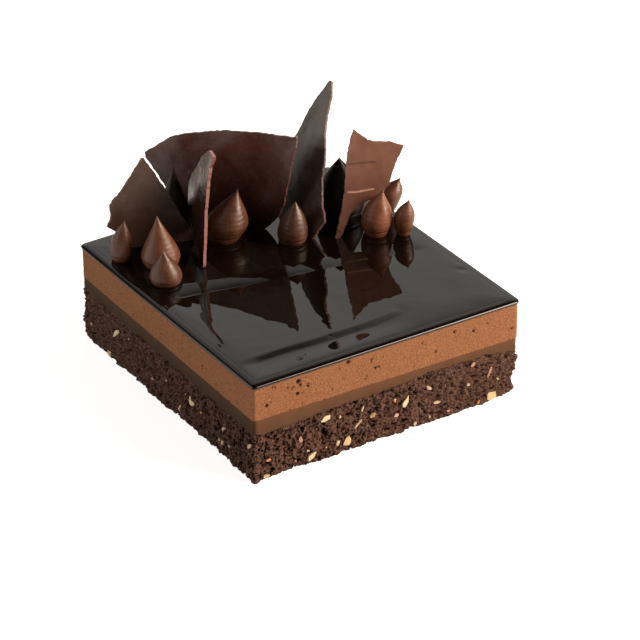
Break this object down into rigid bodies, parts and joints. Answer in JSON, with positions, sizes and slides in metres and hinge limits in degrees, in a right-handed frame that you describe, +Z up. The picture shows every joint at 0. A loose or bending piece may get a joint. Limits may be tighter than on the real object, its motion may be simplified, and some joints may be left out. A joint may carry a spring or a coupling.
{
  "type": "mousse cake",
  "caption": "Rectangular layered chocolate mousse cake with a nut brownie base, a black mirror glaze, upright chocolate shards and piped ganache kisses.",
  "frame": {"origin": "middle of the flat underside, between the cut sides", "axes": "+Z up, +Y along the longer sides towards the decorated back, +X to the right along the front face"},
  "size_m": [0.1563, 0.1839, 0.1233],
  "materials": {
    "brownie": "crumbly, dull, with pits and chopped nuts",
    "cremeux": "smooth, cut with a knife, faintly satin",
    "mousse": "fine foam, dull, with small air pits",
    "glaze": "mirror gloss, nearly black",
    "ganache": "satin, with faint piping marks",
    "chocolate": "satin to dull, snapped edges"
  },
  "bodies": {
    "root": {"brownie_base": "brownie", "cremeux_layer": "cremeux", "mousse_layer": "mousse", "mirror_glaze": "glaze", "kiss_1": "ganache", "kiss_2": "ganache", "kiss_3": "ganache", "kiss_4": "ganache", "kiss_5": "ganache", "kiss_6": "ganache", "kiss_7": "ganache", "kiss_8": "ganache", "kiss_9": "ganache", "kiss_10": "ganache", "shard_1": "chocolate", "shard_2": "chocolate", "shard_3": "chocolate", "shard_4": "chocolate", "shard_5": "chocolate"}
  },
  "joints": []
}
